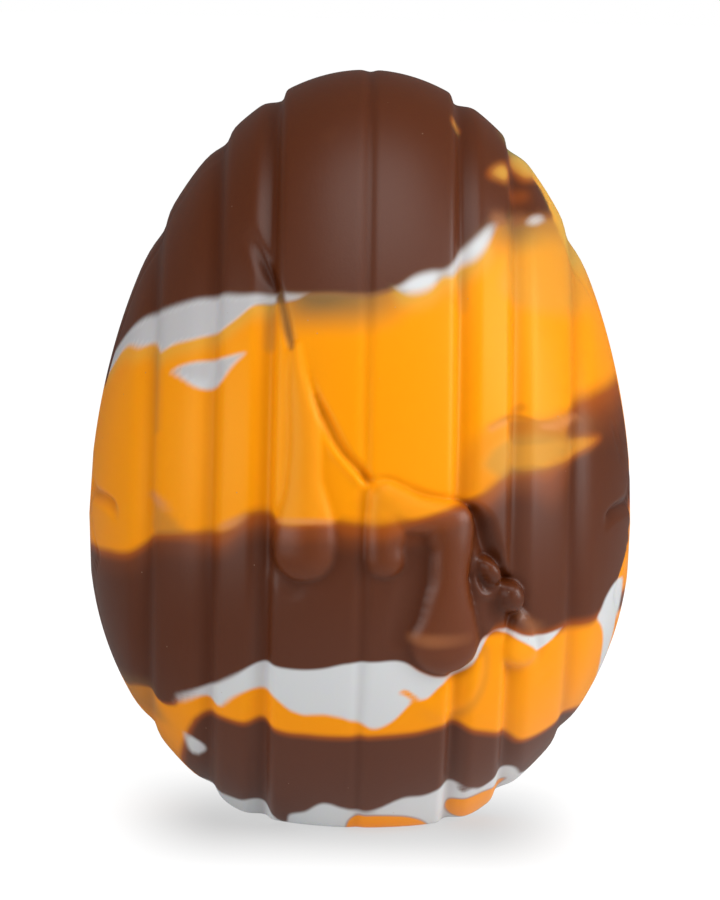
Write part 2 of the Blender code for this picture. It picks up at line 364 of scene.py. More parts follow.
front_y = plain[front, 1]
ground = -groove_depth(front_x, front_y)
for stations in (COLLAR, CRACK_LIP, LOW_RIDGE):
    ground += blob_height(stations, RIDGE_ROUNDNESS)
for stations in HOLLOWS:
    ground -= blob_height(stations, HOLLOW_ROUNDNESS)
lobe = outline_depth(LOWER_LOBE)
ground += LOBE_HEIGHT * ease(lobe / 1.2)
cuts = np.zeros(len(front_x))
for stations, depth in CUT_DEPTHS:
    cuts = np.maximum(cuts, depth * (1.0 - ease(line_distance(stations))))
front_relief = np.where(raised > 0.0, np.maximum(raised, ground), ground - cuts)

relief = -groove_depth(plain[:, 0], plain[:, 1])
relief[front] = front_relief
drop = smooth_line(POCKET_EDGE, np.abs(around)) - height
pocket = ease(drop / 0.8) * ease((POCKET_DROP - drop) / 3.4)
pocket = pocket * ease((np.abs(around) - 60.0) / 5.0)
relief -= POCKET_DEPTH * pocket * ease((96.0 - np.abs(around)) / 8.0)
relief = soften(relief, 2)

# The seam where the shells meet: height, place from front to back
SEAM_DEPTH = 0.22
SEAM_HALF_WIDTH = 0.7
RIGHT_SEAM = (
    (0.0, -9.0), (38.0, -9.0), (43.0, -14.5), (46.5, -18.5), (51.0, -16.8), (55.5, -12.0),
    (60.0, -9.0), (100.0, -8.0), (118.0, -13.5), (128.0, -8.0), (150.0, -8.0),
)
LEFT_SEAM = (
    (0.0, -9.0), (35.0, -9.0), (48.0, -12.0), (53.0, -17.0), (57.0, -13.0), (62.0, -9.0),
    (100.0, -8.0), (150.0, -9.0),
)
seam = np.where(plain[:, 0] > 0.0, smooth_line(RIGHT_SEAM, height),
                smooth_line(LEFT_SEAM, height))
seam_mark = np.exp(-((plain[:, 1] - seam) / SEAM_HALF_WIDTH) ** 2)
seam_mark = seam_mark * ease((np.abs(plain[:, 0]) - 26.0) / 8.0)
relief -= SEAM_DEPTH * seam_mark

# How deep each point lies below its surroundings, 1 in a crevice: painted shade darkens the colour
# and the reflections there
SURROUNDINGS = 40
FULL_CREVICE = 1.7
crevice_shade = np.clip((soften(relief, SURROUNDINGS) - relief) / FULL_CREVICE, 0.0, 1.0)

points = plain + relief[:, None] * normals
points[:, 1] = np.maximum(points[:, 1], cad_box[0][1] / MM + FRONT_CLEARANCE)
low = points[:, 2] < FOOT_ROUNDING
rounded = (points[:, 2] + FOOT_ROUNDING) ** 2 / (4.0 * FOOT_ROUNDING)
points[low, 2] = np.where(points[low, 2] < -FOOT_ROUNDING, 0.0, rounded[low])
egg.data.vertices.foreach_set("co", (points * MM).ravel())
egg.data.update()
bpy.ops.object.shade_smooth()

# ---------------------------------------------------------------------------
# The poured colours.
# Before casting, brown, orange and white chocolate are run into the mould in turn.
# They meet in wavering bands, sharp where one had set and soft where both were
# liquid. The two shells were poured apart, so the bands break at the seam.

# Edges of the bands from the top down: degrees around, height
FRONT_EDGES = (
    # under the brown cap
    ((-90, 87.0), (-76.9, 94.4), (-69.0, 98.8), (-62.6, 101.6), (-58.3, 102.3), (-49.2, 104.4),
     (-43.2, 105.8), (-36.6, 106.8), (-31.4, 106.8), (-26.2, 107.4), (-16.1, 107.4),
     (-8.1, 107.7), (-1.4, 107.7), (3.2, 108.2), (7.6, 109.4), (11.5, 111.3), (16.6, 112.4),
     (19.8, 112.5), (21.5, 113.1), (25.8, 116.2), (30.6, 118.4), (36.5, 120.6), (42.1, 121.1),
     (49.4, 121.2), (56.7, 121.8), (70.7, 121.8), (90, 122.5)),
    # under the upper white
    ((-90, 84.0), (-75.1, 91.8), (-72.5, 93.6), (-69.2, 94.9), (-62.2, 95.2), (-58.0, 96.4),
     (-55.1, 95.9), (-53.0, 94.9), (-49.6, 96.4), (-43.6, 97.8), (-38.9, 99.2), (-34.9, 100.4),
     (-31.4, 102.6), (-27.6, 105.4), (-23.3, 106.2), (-16.1, 107.2), (-13.8, 108.4),
     (-9.1, 110.5), (4.4, 110.8), (6.6, 109.5), (9.3, 108.6), (14.0, 108.8), (15.6, 109.3),
     (19.7, 111.9), (21.3, 111.8), (25.7, 114.0), (29.9, 114.9), (35.6, 118.4), (38.9, 120.9),
     (42.0, 122.5), (46.4, 124.0), (90, 126.0)),
    # above the middle brown
    ((-90, 53.0), (-74.8, 53.4), (-64.3, 54.0), (-58.6, 54.3), (-54.6, 55.1), (-51.0, 57.1),
     (-47.7, 59.1), (-43.8, 59.8), (-34.5, 60.7), (-27.9, 61.7), (-24.6, 64.4), (-20.5, 65.5),
     (-16.2, 64.1), (-6.5, 64.6), (-2.5, 64.1), (1.9, 63.8), (7.5, 64.8), (15.6, 67.0),
     (21.6, 68.9), (26.1, 70.2), (30.9, 73.4), (35.8, 74.8), (42.7, 74.4), (45.2, 76.0),
     (47.3, 79.0), (49.6, 82.5), (53.1, 85.0), (58.5, 86.2), (72.1, 87.5), (90, 88.5)),
    # under the middle brown
    ((-90, 27.0), (-74.0, 26.4), (-63.8, 27.1), (-58.5, 26.6), (-54.7, 24.9), (-50.0, 25.9),
     (-46.7, 27.6), (-42.0, 28.9), (-34.7, 31.0), (-28.0, 33.8), (-22.5, 36.3), (-20.4, 36.6),
     (-17.1, 36.1), (-11.6, 35.9), (-7.9, 36.3), (-3.1, 37.4), (3.2, 37.9), (9.6, 37.8),
     (13.0, 35.9), (17.6, 34.7), (20.3, 35.1), (22.6, 36.4), (24.4, 38.4), (25.4, 41.2),
     (27.6, 43.0), (31.4, 43.8), (35.4, 42.6), (41.1, 41.9), (48.9, 42.9), (56.1, 42.9),
     (60.3, 43.4), (62.7, 44.6), (66.7, 48.3), (72.0, 50.9), (90, 54.0)),
    # under the lower white
    ((-90, 30.0), (-60.0, 28.0), (-56.0, 25.9), (-52.5, 25.0), (-49.1, 25.5), (-43.0, 27.1),
     (-37.9, 27.9), (-34.4, 26.5), (-30.6, 28.6), (-27.0, 30.2), (-23.6, 31.0), (-20.1, 30.3),
     (-15.8, 27.3), (-13.6, 26.6), (-7.7, 26.8), (-0.5, 25.3), (4.1, 24.0), (8.6, 26.1),
     (11.8, 29.4), (15.4, 30.4), (17.9, 32.9), (21.2, 34.3), (25.1, 37.3), (26.7, 41.5),
     (31.5, 43.2), (34.3, 41.9), (38.5, 40.1), (41.1, 38.9), (44.5, 40.5), (48.7, 43.6),
     (52.0, 45.0), (90, 58.0)),
    # above the lower brown
    ((-90, 6.0), (-66.0, 12.0), (-57.9, 14.9), (-52.0, 17.8), (-47.9, 20.3), (-43.7, 22.8),
     (-39.4, 24.2), (-28.3, 23.4), (-23.5, 24.0), (-21.7, 23.1), (-11.7, 21.9), (-3.1, 21.8),
     (7.9, 22.3), (14.0, 22.8), (22.5, 24.2), (24.4, 24.1), (28.5, 22.9), (35.6, 21.7),
     (40.4, 21.0), (44.1, 19.7), (47.3, 18.8), (50.0, 18.9), (55.8, 19.8), (64.2, 21.9),
     (90, 22.0)),
    # under the lower brown
    ((-90, 6.0), (-64.8, 4.9), (-49.1, 4.3), (-39.0, 3.4), (-37.1, 1.8), (-35.4, 0.3),
     (-26.8, 2.7), (-19.4, 3.8), (-10.6, 6.3), (-5.5, 5.4), (2.5, 4.4), (7.1, 5.0),
     (15.8, 7.8), (23.2, 8.3), (29.3, 10.0), (40.0, 8.9), (45.7, 8.8), (49.5, 11.0), (68.3, 9.6),
     (90, 11.0)),
)
BACK_EDGES = (
    ((90, 131.0), (108, 127.0), (122, 117.0), (139, 114.0), (158, 111.0), (172, 104.0),
     (187, 101.5), (203, 102.5), (222, 97.0), (240, 93.0), (256, 88.0), (270, 86.0)),
    ((90, 134.5), (118, 126.0), (134, 108.0), (146, 107.0), (160, 112.5), (178, 112.0),
     (192, 98.0), (206, 95.5), (224, 89.0), (238, 90.5), (252, 93.0), (270, 92.0)),
    ((90, 46.5), (103, 50.0), (118, 60.0), (134, 66.5), (147, 64.0), (163, 71.0), (180, 66.0),
     (199, 60.0), (214, 63.5), (231, 57.0), (250, 55.5), (270, 54.0)),
    ((90, 43.0), (104, 41.0), (120, 36.0), (139, 34.5), (157, 29.5), (176, 33.0), (196, 38.0),
     (213, 34.0), (232, 30.0), (252, 26.5), (270, 27.0)),
    ((90, 47.0), (108, 38.0), (126, 29.5), (144, 30.5), (160, 25.0), (178, 30.5), (195, 31.5),
     (212, 36.0), (233, 31.5), (250, 24.5), (270, 30.0)),
    ((90, 22.0), (110, 19.0), (128, 23.5), (150, 20.0), (168, 21.0), (192, 25.0), (214, 20.0),
     (236, 22.5), (254, 15.0), (270, 6.0)),
    ((90, 11.0), (110, 7.0), (131, 10.5), (152, 4.5), (171, 6.0), (195, 9.0), (217, 4.5),
     (240, 7.5), (254, 9.0), (270, 6.0)),
)


def poured(edges, at, cap_soft, brown_soft, foot_soft, foot_gap):
    """Orange and white fields, positive inside, from a shell's edges."""
    cap, upper_white, brown, foot, lower_white, low_brown, low_foot = (
        smooth_line(line, at) - height for line in edges)
    under_white = np.clip(cap - upper_white, 0.0, 1.5)
    under_low_white = np.clip(foot - lower_white, 0.0, foot_gap)
    upper = np.minimum((cap - under_white) / cap_soft, -brown / brown_soft)
    lower = np.minimum((foot - under_low_white) / foot_soft, -low_brown / 1.35)
    white = np.minimum(cap / 1.1, -upper_white / (0.75 + 0.6 * ease((at - 6.0) / 4.0)))
    white = np.maximum(white, np.minimum(foot / 0.45, -lower_white / 0.4))
    return cap, upper_white, np.maximum(upper, lower), np.maximum(white, low_foot / 0.45)


def bump(at, low, high, run):
    """One between low and high, falling to nothing over run beside them."""
    return ease((at - low) / run + 1.0) * ease((high - at) / run + 1.0)


cap_soft = 1.0 + 0.6 * ease((around - 38.0) / 8.0)
brown_soft = 1.9 + 1.2 * ease((around + 40.0) / 10.0)
brown_soft -= 1.9 * bump(around, -17.0, -6.0, 2.0) + 2.0 * bump(around, 11.0, 22.0, 5.0)
brown_soft += 1.3 * ease((around - 46.0) / 5.0)
foot_soft = 0.5 + 0.3 * bump(around, 11.0, 24.0, 3.0) + 1.6 * bump(around, 30.0, 62.0, 4.0)
foot_gap = 0.8 * (1.0 - ease((around - 8.0) / 4.0))
cap, upper_white, orange, white = poured(FRONT_EDGES, around, cap_soft, brown_soft, foot_soft,
                                         foot_gap)
_, _, back_orange, back_white = poured(BACK_EDGES, around % 360.0, 1.2, 1.9, 0.7, 0.6)
behind = ease(0.5 + plain[:, 1] - seam)
orange, white = (
    np.clip(on_front, -1.5, 1.5) * (1.0 - behind) + np.clip(on_back, -1.5, 1.5) * behind
    for on_front, on_back in ((orange, back_orange), (white, back_white)))


def lay(field, outline, softness, sign=1.0):
    """Add an outline of the front to a field, or take it away with a sign of -1."""
    depth = outline_depth(outline) / softness
    if sign > 0.0:
        field[front] = np.maximum(field[front], depth)
    else:
        field[front] = np.minimum(field[front], -depth)


# Outlines of the small patches and veils: x, z
UPPER_WHITE_SPOTS = (
    ((-38.2, 91.4), (-35.8, 92.7), (-33.5, 93.6), (-29.9, 94.5), (-26.4, 95.2), (-22.6, 96.6),
     (-24.8, 94.6), (-26.4, 92.6), (-27.7, 90.6), (-29.4, 89.3), (-31.2, 88.6), (-33.0, 89.1),
     (-34.8, 90.2), (-36.6, 91.0)),
    ((31.2, 121.2), (32.6, 122.3), (34.4, 122.3), (35.8, 121.7), (34.4, 121.1), (33.0, 120.7)),
)
SIDE_WHITE = (
    (46.9, 43.3), (47.9, 44.9), (48.7, 47.0), (50.0, 49.0), (51.4, 50.2), (52.9, 50.0),
    (52.8, 47.2), (52.4, 44.2), (51.8, 41.0), (51.0, 36.7), (50.0, 31.9), (48.9, 28.6),
    (47.5, 25.6), (48.4, 28.6), (48.7, 33.1), (48.9, 37.4), (48.6, 40.2), (47.9, 42.0),
)
SMUDGES = (
    ((23.2, 130.4), (24.8, 131.8), (26.7, 132.4), (28.0, 131.4), (28.0, 129.6), (26.8, 129.0),
     (25.4, 129.7)),
    ((28.6, 133.4), (29.6, 134.6), (31.5, 134.4), (34.0, 132.4), (35.6, 130.2), (34.2, 129.0),
     (31.8, 129.2), (30.4, 130.8), (29.2, 132.2)),
)
LENS_VEIL = (
    (21.5, 75.5), (23.5, 79.5), (27.0, 82.0), (33.0, 82.4), (40.0, 81.4), (47.6, 79.6),
    (43.5, 76.6), (36.0, 73.6), (30.0, 73.0), (25.5, 72.0),
)
WISP_VEIL = (
    (27.0, 84.4), (30.0, 85.2), (34.0, 84.4), (39.0, 84.8), (46.0, 85.0), (45.0, 79.5),
    (36.0, 78.5), (28.0, 78.5),
)
BROAD_VEIL = (
    (16.0, 69.0), (18.0, 79.0), (22.0, 84.5), (30.0, 86.0), (47.0, 86.0), (48.0, 79.0),
    (40.0, 73.0), (28.0, 68.0),
)
LEFT_VEIL = (
    (-41.3, 67.4), (-40.1, 67.2), (-38.6, 65.8), (-36.8, 64.3), (-35.2, 62.8), (-33.5, 61.0),
    (-37.1, 59.8), (-41.4, 59.5),
)
FAINT_SMUDGES = (
    ((23.0, 122.4), (25.1, 123.6), (27.3, 122.9), (27.3, 121.5), (25.3, 120.9), (23.5, 121.4)),
    ((28.1, 122.9), (29.8, 123.9), (31.9, 123.5), (31.8, 122.0), (29.8, 121.5), (28.3, 121.9)),
    ((27.4, 128.6), (31.6, 128.2), (33.4, 126.4), (32.0, 124.8), (29.0, 124.6), (27.2, 126.0)),
)
UPPER_RIGHT_VEIL = (
    (24.0, 108.0), (26.5, 117.0), (31.0, 121.0), (44.0, 121.0), (50.0, 108.0), (44.0, 102.0),
    (33.0, 103.0),
)
CRESCENT = ((16.2, 141.6), (16.4, 140.3), (17.0, 139.6), (18.1, 139.2), (19.3, 139.5),
            (18.3, 140.0), (17.2, 140.7))
YELLOW_LENS = (
    (26.2, 78.3), (27.3, 80.5), (29.3, 81.2), (32.1, 81.6), (35.1, 81.2), (38.2, 80.6),
    (40.7, 80.2), (43.2, 80.2), (47.2, 79.4), (43.7, 77.2), (41.6, 76.2), (39.5, 75.3),
    (36.6, 74.4), (33.4, 74.2), (30.2, 74.2), (27.8, 75.4),
)
CURL = ((7.0, 31.3), (8.2, 32.3), (9.4, 32.2), (10.5, 31.2), (12.0, 30.5), (10.8, 29.7),
        (9.5, 30.6), (8.4, 31.3))
FOOT_SPOTS = (
    ((-2.3, -6.0), (-1.8, 1.7), (-0.8, 2.9), (0.6, 3.4), (4.9, 3.6), (9.9, 3.2), (12.6, 2.2),
     (14.6, 0.6), (15.0, -6.0)),
    ((19.6, 0.4), (18.2, 3.1), (18.5, 4.9), (19.9, 5.5), (22.9, 6.5), (25.7, 7.6), (28.4, 7.9),
     (31.5, 8.7), (28.8, 4.9), (26.5, 2.0), (23.4, 0.0)),
)
FLECK = ((20.1, 8.9), (21.3, 8.9), (22.9, 8.5), (21.9, 7.9), (21.3, 7.7), (20.5, 8.2))
PALE_CORNER = (
    (-34.3, 19.6), (-33.0, 18.6), (-31.8, 17.4), (-30.6, 16.0), (-30.4, 14.9), (-32.1, 13.5),
    (-33.2, 13.3), (-33.6, 16.3),
)
CRACK_FILL = ((-17.0, 107.4, 1.0), (-15.8, 103.6, 1.0), (-15.0, 100.5, 0.9), (-14.2, 97.5, 0.4))

for outline in SMUDGES:
    lay(orange, outline, 1.5)
lay(orange, YELLOW_LENS, 1.5)
lay(orange, CRESCENT, 0.7)
for outline in UPPER_WHITE_SPOTS:
    lay(white, outline, 0.7)
lay(white, SIDE_WHITE, 0.4)
lay(white, PALE_CORNER, 0.4)
lay(white, CURL, 0.3, -1.0)
lay(orange, CURL, 0.3)
white[front] = np.minimum(white[front], -lobe / 0.4)
orange[front] = np.where(lobe > -0.8, np.maximum(orange[front], lobe / 0.6), orange[front])
for outline in FOOT_SPOTS:
    lay(white, outline, 0.45, -1.0)
    lay(orange, outline, 0.45)
lay(white, FLECK, 0.3, -1.0)
# The white leaves the crack's upper stretch free; it is filled with smoky brown and darkened with
# painted shade
crack_fill_distance = line_distance(CRACK_FILL)
white[front] = np.minimum(white[front], (crack_fill_distance - 1.0) * 1.6)

# Thin veils, where one colour shows through another: smoke is brown over orange, milk
# is white over orange, blush is where orange shows through brown, rust is their mix.
# Some of them also lay painted shade (smoke in the groove coves) and painted light
# (milk and rust on the raised drips, blush along the low ridge).
smoke = np.zeros(count)
milk = np.zeros(count)
blush = np.zeros(count)
rust = np.zeros(count)
SMOKE_UNDER_CAP = (
    (-90, 0.1), (-32, 0.15), (-22, 0.3), (-16, 0.9), (-4, 0.95), (4, 0.7), (12, 0.35), (24, 0.3),
    (36, 0.55), (44, 0.9), (60, 0.8), (90, 0.5),
)
shade = smooth_line(SMOKE_UNDER_CAP, around) * (1.0 - ease(cap / 8.5)) * ease(cap + 1.0)
smoke = shade * (1.0 - behind)
low_left = bump(around, -85.0, -62.0, 8.0) * bump(height, 22.0, 27.0, 3.0)
smoke = np.maximum(smoke, 0.5 * low_left * (1.0 - behind))
milky = 0.32 * (ease((-20.0 - around) / 5.0) + bump(around, 8.0, 34.0, 3.0))
milk_tail = (1.0 - ease(upper_white / 5.0)) * ease(upper_white / 0.3 + 1.0)
milk = milk_tail * milky * (1.0 - behind)
back_milk = bump(height, 113.0, 134.0, 5.0) * bump(around, 40.0, 95.0, 20.0)
milk = np.maximum(milk, 0.45 * behind * back_milk)

# Streaks: stations (x, z, half width, strength), veil
STREAKS = (
    # The first four smoke streaks lie in groove coves: part smoky pour, part painted shade
    (((-18.6, 106.5, 1.9, 0.55), (-18.8, 98.0, 1.7, 0.3)), smoke),
    (((-40.9, 95.0, 1.2, 0.35), (-40.6, 80.0, 1.0, 0.3)), smoke),
    (((28.4, 122.0, 1.7, 0.6), (28.2, 113.0, 1.6, 0.3)), smoke),
    (((18.6, 112.5, 1.6, 0.5), (18.9, 106.0, 1.5, 0.2)), smoke),
    (((-41.3, 67.6, 1.0, 0.7), (-39.6, 66.3, 1.1, 1.0), (-38.2, 65.0, 0.9, 0.6)), blush),
    (((-27.4, 62.6, 0.9, 0.4), (-25.2, 63.8, 1.1, 0.9), (-22.8, 65.3, 0.9, 0.4)), blush),
    (((-16.0, 65.0, 0.8, 0.5), (-11.0, 65.2, 0.8, 0.7), (-6.0, 65.2, 0.8, 0.5)), blush),
    (((34.6, 82.7, 0.8, 0.5), (37.1, 82.6, 1.0, 0.8), (39.2, 83.3, 1.0, 0.9),
      (41.8, 84.2, 0.9, 0.6)), blush),
    (((24.3, 82.7, 0.8, 0.5), (27.0, 83.9, 0.8, 0.6)), blush),
    (((-10.9, 136.2, 0.4, 0.06), (-8.6, 136.9, 0.5, 0.1), (-6.2, 137.5, 0.4, 0.06)), blush),
    # A painted highlight along the low ridge
    (((31.0, 46.4, 1.2, 0.1), (32.6, 44.6, 1.7, 0.22), (34.0, 43.4, 1.9, 0.26)), blush),
    (((10.0, 43.0, 1.5, 0.2), (13.5, 42.8, 1.7, 0.24), (20.0, 43.2, 1.5, 0.06)), blush),
    (((24.2, 83.2, 0.8, 0.4), (27.2, 84.6, 0.8, 0.6), (30.0, 84.9, 0.8, 0.6),
      (33.8, 83.5, 0.8, 0.6), (37.2, 83.7, 0.8, 0.6), (40.6, 85.0, 1.0, 0.7)), rust),
    (((29.2, 85.8, 1.2, 0.3), (30.8, 86.6, 1.2, 0.4)), rust),
)
filling = 1.0 - ease(crack_fill_distance / 1.6)
smoke[front] = np.maximum(smoke[front], 0.9 * filling)
# Painted shade along the crack's upper stretch
crevice_shade[front] = np.maximum(crevice_shade[front], 0.45 * filling)
for stations, veil in STREAKS:
    veil[front] = np.maximum(veil[front], blob_height(stations, 1.0))

# Spots: outline, softness of its edge, strength, veil
VEIL_SPOTS = (
    (LENS_VEIL, 3.0, 0.26, smoke),
    (LENS_VEIL, 3.0, 0.17, milk),
    (LENS_VEIL, 3.0, 0.32, rust),
    (WISP_VEIL, 1.6, 0.58, rust),
    (WISP_VEIL, 1.6, 0.26, smoke),
    (BROAD_VEIL, 4.0, 0.18, rust),
    (BROAD_VEIL, 4.0, 0.10, smoke),
    (SMUDGES[0], 1.2, 0.35, milk),
    (SMUDGES[1], 1.4, 0.3, milk),
    (CRESCENT, 0.5, 0.3, milk),
    (LEFT_VEIL, 1.2, 0.45, smoke),
    (SMUDGES[0], 1.0, 0.4, smoke),
    (SMUDGES[1], 1.0, 0.35, smoke),
    (CRESCENT, 0.5, 0.4, smoke),
    (FAINT_SMUDGES[0], 1.0, 0.4, blush),
    (FAINT_SMUDGES[1], 1.0, 0.3, blush),
    (FAINT_SMUDGES[2], 1.8, 0.55, rust),
    (UPPER_RIGHT_VEIL, 3.5, 0.2, smoke),
    (UPPER_RIGHT_VEIL, 3.5, 0.14, milk),
)
for outline, softness, amount, veil in VEIL_SPOTS:
    depth = ease(outline_depth(outline) / softness + 0.15)
    veil[front] = np.maximum(veil[front], amount * depth)
rim = bump(-lobe, 0.1, 0.8, 0.8) * ease((front_x - 15.0) / 4.0)
smoke[front] = np.maximum(smoke[front], 0.2 * rim)
# Painted light: the raised drips are made redder and lighter
drip_painted_light_rust = 0.16 * ease(raised / 1.2) * (1.0 - ease((front_x - 22.0) / 4.0))
rust[front] = np.maximum(rust[front], drip_painted_light_rust)
under_brown = smooth_line(FRONT_EDGES[2], around) - height
run = 6.0 + 5.0 * ease((around - 30.0) / 15.0)
rust_tail = 0.5 * (1.0 - ease(under_brown / run)) * ease(under_brown + 1.5) * (1.0 - behind)
rust = np.maximum(rust, rust_tail * (0.5 + 0.6 * ease((around + 40.0) / 10.0)))
# The upper white at the left is darkened a little with painted shade
left_white_shade = 0.38 * bump(height, 92.0, 112.0, 4.0) * bump(around, -86.0, -15.0, 6.0) * ease(white)
crevice_shade = np.maximum(crevice_shade, left_white_shade)
# Painted light: the orange on the raised drips is made paler
drip_painted_light_milk = 0.05 * ease(raised / 1.2) * ease(orange[front])
milk[front] = np.maximum(milk[front], drip_painted_light_milk)
smoke, milk, blush, rust = (soften(veil, 1) for veil in (smoke, milk, blush, rust))
orange, white = soften(np.clip(orange, -3.0, 3.0), 1), soften(np.clip(white, -3.0, 3.0), 1)

for name, values in (("orange_pour", orange), ("white_pour", white), ("smoke", smoke),
                     ("milk", milk), ("blush", blush), ("rust", rust), ("crevice_shade", crevice_shade)):
    layer = egg.data.attributes.new(name, "FLOAT", "POINT")
    layer.data.foreach_set("value", np.clip(values, -6.0, 6.0).astype(np.float32))

# ---------------------------------------------------------------------------
# Tempered chocolate.
# It comes out of a polished mould with a satin skin: broad soft reflections, a
# very fine grain with a few pinholes whose specks are partly painted glints, and a little
# light carried inside it. Painted shade darkens its crevices.

# Tints of the pours. The smoke, milk, blush and rust tints also lay painted shade and light in
# places; the crevice tints paint shade into crevices, and the pinhole tint paints specks that are
# partly glints
BROWN = (0.0905, 0.0178, 0.0017, 1.0)
RUST = (0.330, 0.066, 0.003, 1.0)
ORANGE = (0.95, 0.309, 0.0005, 1.0)
WHITE = (0.645, 0.66, 0.67, 1.0)
SMOKE = (0.245, 0.132, 0.047, 1.0)
MILK = (0.52, 0.50, 0.12, 1.0)
BLUSH = (0.68, 0.26, 0.09, 1.0)
CREVICE_SHADE = (0.50, 0.40, 0.40, 1.0)
ORANGE_GLOSS = (1.0, 0.82, 0.25, 1.0)
CREVICE_SHADE_GLOSS = (0.05, 0.03, 0.02, 1.0)
PINHOLE_AND_GLINT = (0.45, 0.30, 0.22, 1.0)

chocolate = bpy.data.materials.new("marbled_chocolate")
chocolate.use_nodes = True
nodes = chocolate.node_tree.nodes
links = chocolate.node_tree.links
shader = nodes["Principled BSDF"]
shader.inputs["Roughness"].default_value = 0.40
shader.inputs["Specular IOR Level"].default_value = 0.36
shader.inputs["Subsurface Weight"].default_value = 0.15
shader.inputs["Subsurface Radius"].default_value = (1.0, 0.45, 0.12)
shader.inputs["Subsurface Scale"].default_value = 0.0015


def reading(attribute):
    """Values of one of the pour's attributes."""
    reader = nodes.new("ShaderNodeAttribute")
    reader.attribute_name = attribute
    return reader.outputs["Fac"]


def edge_of(field):
    """Smooth step over where a field passes zero."""
    edge = nodes.new("ShaderNodeMapRange")
    edge.interpolation_type = "SMOOTHSTEP"
    edge.inputs["From Min"].default_value = -1.0
    edge.inputs["From Max"].default_value = 1.0
    links.new(field, edge.inputs["Value"])
    return edge.outputs["Result"]


def over(below_colour, above_colour, amount):
    """A colour laid over another one."""
    mix = nodes.new("ShaderNodeMix")
    mix.data_type = "RGBA"
    links.new(amount, mix.inputs["Factor"])
    links.new(below_colour, mix.inputs["A"])
    mix.inputs["B"].default_value = above_colour
    return mix.outputs["Result"]


orange_amount = edge_of(reading("orange_pour"))
white_amount = edge_of(reading("white_pour"))
ramp = nodes.new("ShaderNodeValToRGB")
ramp.color_ramp.elements[0].color = BROWN
ramp.color_ramp.elements[1].color = ORANGE
ramp.color_ramp.elements.new(0.5).color = RUST
links.new(orange_amount, ramp.inputs["Fac"])
colour = ramp.outputs["Color"]
for veil, tint in (("rust", RUST), ("smoke", SMOKE), ("milk", MILK), ("blush", BLUSH)):
    colour = over(colour, tint, reading(veil))
colour = over(colour, WHITE, white_amount)

plain_gloss = nodes.new("ShaderNodeRGB")
plain_gloss.outputs["Color"].default_value = (1.0, 1.0, 1.0, 1.0)
gloss = over(plain_gloss.outputs["Color"], ORANGE_GLOSS, orange_amount)
gloss = over(gloss, (1.0, 1.0, 1.0, 1.0), white_amount)
# Painted shade: reflections are dimmed in crevices
crease_shade = reading("crevice_shade")
gloss = over(gloss, CREVICE_SHADE_GLOSS, crease_shade)
links.new(gloss, shader.inputs["Specular Tint"])

# Pinholes: small specks, partly the holes and partly painted glints in them
place = nodes.new("ShaderNodeTexCoord")
cells = nodes.new("ShaderNodeTexVoronoi")
cells.inputs["Scale"].default_value = 190.0
pinholes_and_glints = nodes.new("ShaderNodeMapRange")
pinholes_and_glints.inputs["From Min"].default_value = 0.018
pinholes_and_glints.inputs["From Max"].default_value = 0.034
pinholes_and_glints.inputs["To Min"].default_value = 0.55
pinholes_and_glints.inputs["To Max"].default_value = 0.0
links.new(place.outputs["Object"], cells.inputs["Vector"])
links.new(cells.outputs["Distance"], pinholes_and_glints.inputs["Value"])
colour = over(colour, PINHOLE_AND_GLINT, pinholes_and_glints.outputs["Result"])
# Painted shade: the colour is darkened in crevices
darker = nodes.new("ShaderNodeMix")
darker.data_type = "RGBA"
darker.blend_type = "MULTIPLY"
links.new(crease_shade, darker.inputs["Factor"])
links.new(colour, darker.inputs["A"])
darker.inputs["B"].default_value = CREVICE_SHADE
links.new(darker.outputs["Result"], shader.inputs["Base Color"])

grain = nodes.new("ShaderNodeTexNoise")
grain.inputs["Scale"].default_value = 1900.0
grain.inputs["Detail"].default_value = 2.0
grain_relief = nodes.new("ShaderNodeBump")
grain_relief.inputs["Strength"].default_value = 0.22
grain_relief.inputs["Distance"].default_value = 0.00006
links.new(place.outputs["Object"], grain.inputs["Vector"])
links.new(grain.outputs["Fac"], grain_relief.inputs["Height"])
links.new(grain_relief.outputs["Normal"], shader.inputs["Normal"])

egg.data.materials.append(chocolate)
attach(egg, "root")
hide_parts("egg")

# ---------------------------------------------------------------------------
# The studio.
# A pale card under the egg glows nearly white to the camera, with a painted shade round
# the foot and a painted bounce glow toward the egg. A soft light hangs above and in front,
# two stand at the sides, and a weak one fills in from the front.

FLOOR_SIZE = 40.0
# Soft painted shade on the card round the foot: its middle, and along each axis how far from
# the middle it starts to fade and is gone, in metres
SHADE_MIDDLE = Vector((-0.001, -0.019, 0.0))
SHADE_REACH = (("X", 0.024, 0.055), ("Y", 0.0, 0.065))
# The card's painted bounce glow toward the egg is strongest here, in front of its right side
BOUNCE_GLOW_MIDDLE = (0.05, -0.09, 0.0)

bpy.ops.object.select_all(action="DESELECT")
bpy.ops.mesh.primitive_plane_add(size=FLOOR_SIZE, location=(0.0, 0.0, 0.0))
floor = bpy.context.object
floor.name = "floor"
card = bpy.data.materials.new("pale_card")
card.use_nodes = True
card_nodes = card.node_tree.nodes
card_links = card.node_tree.links
card_shader = card_nodes["Principled BSDF"]
card_shader.inputs["Roughness"].default_value = 1.0
card_shader.inputs["Specular IOR Level"].default_value = 0.0
card_shader.inputs["Emission Color"].default_value = (1.0, 1.0, 1.0, 1.0)
card_place = card_nodes.new("ShaderNodeTexCoord")
card_middle = card_nodes.new("ShaderNodeMapping")
card_middle.inputs["Location"].default_value = -SHADE_MIDDLE
card_sides = card_nodes.new("ShaderNodeSeparateXYZ")
card_links.new(card_place.outputs["Object"], card_middle.inputs["Vector"])
card_links.new(card_middle.outputs["Vector"], card_sides.inputs["Vector"])
card_shade = card_nodes.new("ShaderNodeMath")
